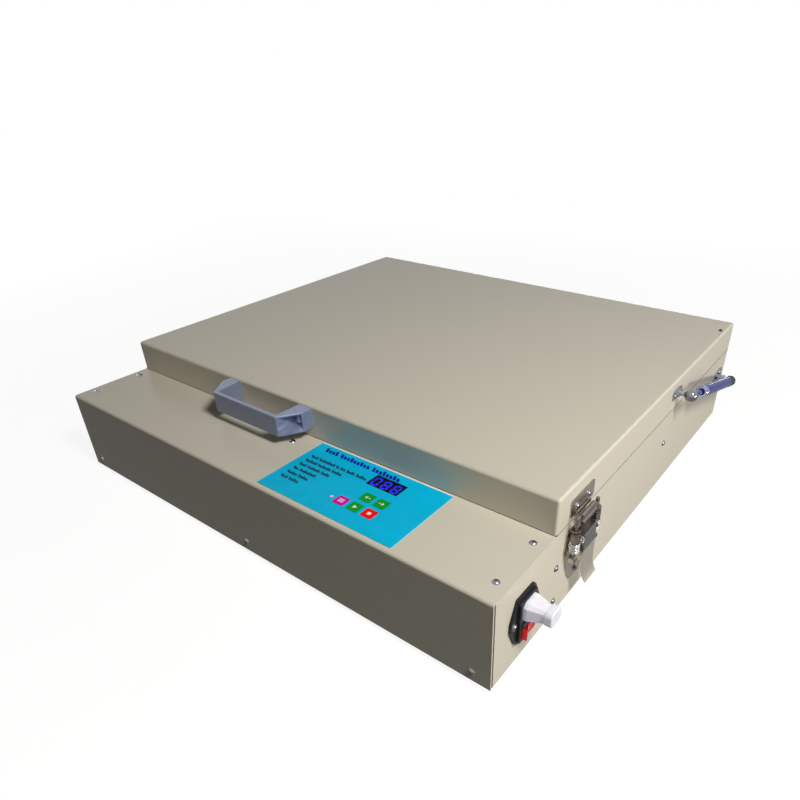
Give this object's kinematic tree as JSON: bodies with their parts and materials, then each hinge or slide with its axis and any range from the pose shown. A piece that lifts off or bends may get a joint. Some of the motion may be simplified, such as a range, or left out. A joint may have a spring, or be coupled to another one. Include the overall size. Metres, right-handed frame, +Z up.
{
  "type": "screen printing exposure unit",
  "caption": "Low steel cabinet with a control ledge in front and a hinged lid that presses a screen flat on a lit glass, held by gas struts and side latches.",
  "frame": {"origin": "on the floor under the middle of the cabinet, at the underside of the feet", "axes": "+X to the cabinet's right, +Y to its back, +Z up"},
  "size_m": [0.7289, 0.6621, 0.156],
  "materials": {
    "powder_coat": "semi-gloss cream powder coat over folded steel sheet",
    "glass": "clear float glass, ground edges",
    "aluminium": "mill-finish sheet",
    "circuit_board": "green solder mask",
    "led_lens": "clear lens over a violet emitter",
    "plated_steel": "bright zinc plate",
    "black_plastic": "fine-textured black",
    "window": "smoked window",
    "membrane_blue": "satin polyester membrane",
    "lamp_red": "diffuse lens",
    "black_rubber": "moulded rubber",
    "screw_steel": "bright plated screws",
    "black_steel": "black oxide",
    "stainless": "pressed stainless sheet",
    "chrome": "ground and plated",
    "brass": "bright contact blades",
    "rocker_red": "translucent red",
    "board_wood": "plain plywood",
    "foam": "closed-cell foam sheet",
    "handle_metal": "silver-blue hammered paint on a die casting",
    "key_magenta": "embossed membrane key",
    "key_green": "embossed membrane key",
    "key_red": "embossed membrane key",
    "white_plastic": "moulded white"
  },
  "bodies": {
    "base": {"base_tub": "powder_coat", "front_cover": "powder_coat", "bulkhead": "powder_coat", "deck_frame": "powder_coat", "exposure_glass": "glass", "led_tray": "aluminium", "led_strips": "circuit_board", "led_chips": "led_lens", "power_supply": "plated_steel", "control_board": "circuit_board", "display_module": "black_plastic", "display_window": "window", "panel_overlay": "membrane_blue", "status_lamp": "lamp_red", "rubber_feet": "black_rubber", "cover_screws": "screw_steel", "side_screws": "screw_steel", "latch_screws": "screw_steel", "strut_base_screws": "screw_steel", "hinge_base_screws": "screw_steel", "inlet_screws": "screw_steel", "hinge_base_leaves": "plated_steel", "hinge_pins": "plated_steel", "strut_base_brackets": "plated_steel", "latch_base_right": "stainless", "latch_base_left": "stainless", "latch_pivot_pins": "stainless", "inlet_housing": "black_plastic", "inlet_pins": "brass"},
    "lid": {"lid_shell": "powder_coat", "lid_rivet": "black_steel", "lid_seal": "black_rubber", "pad_board": "board_wood", "foam_pad": "foam", "handle": "handle_metal", "handle_screws": "black_steel", "hinge_lid_leaves": "plated_steel", "hinge_lid_screws": "screw_steel", "latch_catches": "stainless", "catch_screws": "screw_steel", "strut_lid_brackets": "plated_steel", "strut_lid_screws": "screw_steel"},
    "strut_tube_right": {"strut_cylinder_right": "chrome"},
    "strut_tube_left": {"strut_cylinder_left": "chrome"},
    "strut_piston_right": {"strut_rod_right": "chrome"},
    "strut_piston_left": {"strut_rod_left": "chrome"},
    "latch_handle_right": {"latch_lever_right": "stainless"},
    "latch_handle_left": {"latch_lever_left": "stainless"},
    "latch_hook_right": {"latch_bail_right": "stainless", "latch_springs_right": "stainless"},
    "latch_hook_left": {"latch_bail_left": "stainless", "latch_springs_left": "stainless"},
    "rocker": {"rocker_switch": "rocker_red"},
    "drawer": {"fuse_drawer": "black_plastic"},
    "plug": {"power_connector": "white_plastic"},
    "mode_key": {"key_mode": "key_magenta"},
    "up_key": {"key_up": "key_green"},
    "down_key": {"key_down": "key_green"},
    "start_key": {"key_start": "key_green"},
    "stop_key": {"key_stop": "key_red"}
  },
  "joints": [
    {"name": "lid_hinge", "type": "hinge", "parent": "base", "child": "lid", "pos_m": [0, 0.3305, 0.113], "axis": [-1, 0, 0], "range_deg": [0, 60]},
    {"name": "strut_swing_right", "type": "hinge", "parent": "base", "child": "strut_tube_right", "pos_m": [0.353, 0.2985, 0.076], "axis": [-1, 0, 0], "range_deg": [0, 59.5]},
    {"name": "strut_stroke_right", "type": "slide", "parent": "strut_tube_right", "child": "strut_piston_right", "axis": [0, -0.9596, 0.2814], "range_m": [0, 0.0492]},
    {"name": "latch_lever_right", "type": "hinge", "parent": "base", "child": "latch_handle_right", "pos_m": [0.345, -0.1685, 0.0925], "axis": [0, -1, 0], "range_deg": [0, 120]},
    {"name": "latch_bail_right", "type": "hinge", "parent": "latch_handle_right", "child": "latch_hook_right", "pos_m": [0.3425, -0.1685, 0.0715], "axis": [0, -1, 0], "range_deg": [-138.5, 0]},
    {"name": "strut_swing_left", "type": "hinge", "parent": "base", "child": "strut_tube_left", "pos_m": [-0.353, 0.2985, 0.076], "axis": [-1, 0, 0], "range_deg": [0, 59.5]},
    {"name": "strut_stroke_left", "type": "slide", "parent": "strut_tube_left", "child": "strut_piston_left", "axis": [0, -0.9596, 0.2814], "range_m": [0, 0.0492]},
    {"name": "latch_lever_left", "type": "hinge", "parent": "base", "child": "latch_handle_left", "pos_m": [-0.345, -0.1685, 0.0925], "axis": [0, 1, 0], "range_deg": [0, 120]},
    {"name": "latch_bail_left", "type": "hinge", "parent": "latch_handle_left", "child": "latch_hook_left", "pos_m": [-0.3425, -0.1685, 0.0715], "axis": [0, 1, 0], "range_deg": [-138.5, 0]},
    {"name": "rocker_tilt", "type": "hinge", "parent": "base", "child": "rocker", "pos_m": [0.338, -0.2733, 0.0442], "axis": [0, 0, -1], "range_deg": [0, 22]},
    {"name": "drawer_pull", "type": "slide", "parent": "base", "child": "drawer", "axis": [1, 0, 0], "range_m": [0, 0.022]},
    {"name": "plug_pull", "type": "slide", "parent": "base", "child": "plug", "axis": [1, 0, 0], "range_m": [0, 0.03]},
    {"name": "mode_key_press", "type": "slide", "parent": "base", "child": "mode_key", "axis": [0, 0, -1], "range_m": [0, 0.0004], "stiffness_N_per_m": 2500},
    {"name": "up_key_press", "type": "slide", "parent": "base", "child": "up_key", "axis": [0, 0, -1], "range_m": [0, 0.0004], "stiffness_N_per_m": 2500},
    {"name": "down_key_press", "type": "slide", "parent": "base", "child": "down_key", "axis": [0, 0, -1], "range_m": [0, 0.0004], "stiffness_N_per_m": 2500},
    {"name": "start_key_press", "type": "slide", "parent": "base", "child": "start_key", "axis": [0, 0, -1], "range_m": [0, 0.0004], "stiffness_N_per_m": 2500},
    {"name": "stop_key_press", "type": "slide", "parent": "base", "child": "stop_key", "axis": [0, 0, -1], "range_m": [0, 0.0004], "stiffness_N_per_m": 2500}
  ],
  "couplings": [
    {"joint": "strut_swing_right", "follows": "lid_hinge", "ratio": 0.98317},
    {"joint": "strut_stroke_right", "follows": "lid_hinge", "m_per_rad": 0.046539},
    {"joint": "latch_bail_right", "follows": "latch_lever_right", "ratio": -1.15},
    {"joint": "strut_swing_left", "follows": "lid_hinge", "ratio": 0.98317},
    {"joint": "strut_stroke_left", "follows": "lid_hinge", "m_per_rad": 0.046539},
    {"joint": "latch_bail_left", "follows": "latch_lever_left", "ratio": -1.15}
  ]
}
